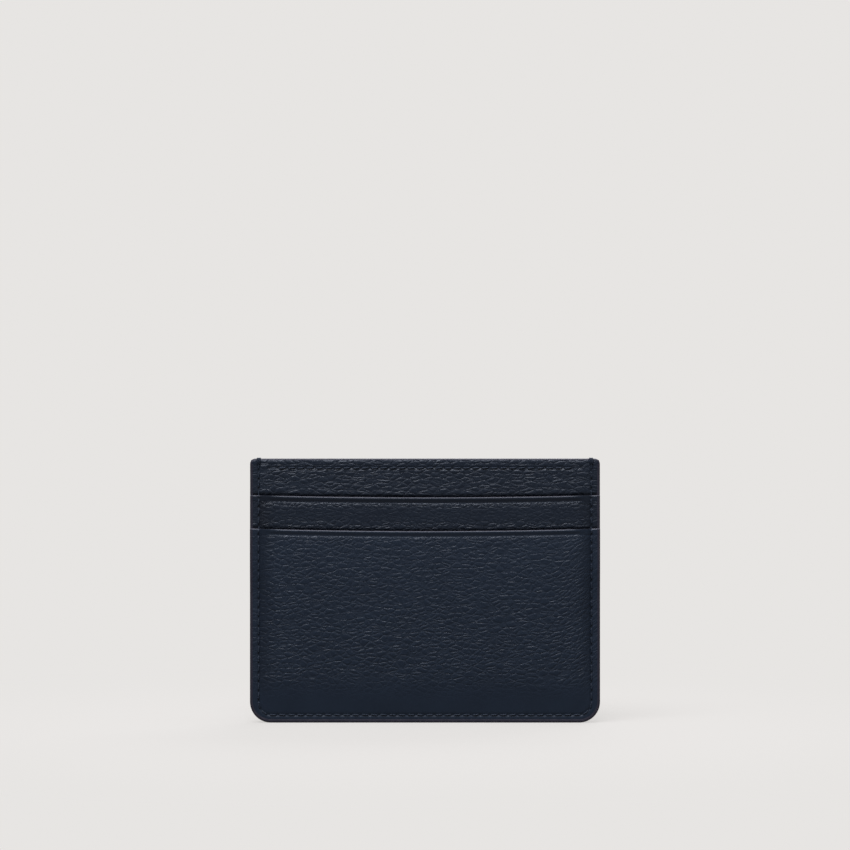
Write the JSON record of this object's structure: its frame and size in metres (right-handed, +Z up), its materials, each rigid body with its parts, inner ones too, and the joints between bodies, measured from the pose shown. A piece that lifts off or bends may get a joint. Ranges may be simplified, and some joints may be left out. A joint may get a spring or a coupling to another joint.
{
  "type": "card holder",
  "caption": "Slim leather card holder with open-topped card slots on both faces and a note compartment between them, sewn round the sides and base.",
  "frame": {"origin": "middle of the bottom edge, at the middle of the thickness", "axes": "+X along the width to the right seen from the front, +Y through the thickness towards the back face, +Z up towards the open mouths"},
  "size_m": [0.1, 0.0076, 0.0754],
  "materials": {
    "leather": "dark navy calf leather with a fine pebbled grain and a satin sheen",
    "cloth": "fine woven lining cloth, dark navy",
    "board": "pressed fibre board, hidden inside",
    "thread": "bonded polyester sewing thread, dark navy",
    "edge_paint": "smooth dark edge paint"
  },
  "bodies": {
    "root": {"front_lining": "cloth", "front_stiffener": "board", "front_panel": "leather", "front_panel_edge_paint": "edge_paint", "front_top_stitching": "thread", "front_upper_pocket_slip": "cloth", "front_slip_stitching": "thread", "front_upper_pocket": "leather", "front_upper_pocket_edge_paint": "edge_paint", "front_lower_pocket_lining": "cloth", "front_lower_pocket": "leather", "front_lower_pocket_edge_paint": "edge_paint", "back_lining": "cloth", "back_stiffener": "board", "back_panel": "leather", "back_panel_edge_paint": "edge_paint", "back_top_stitching": "thread", "back_upper_pocket_slip": "cloth", "back_slip_stitching": "thread", "back_upper_pocket": "leather", "back_upper_pocket_edge_paint": "edge_paint", "back_lower_pocket_lining": "cloth", "back_lower_pocket": "leather", "back_lower_pocket_edge_paint": "edge_paint", "perimeter_needle_thread": "thread", "perimeter_bobbin_thread": "thread", "perimeter_edge_paint": "edge_paint"}
  },
  "joints": []
}
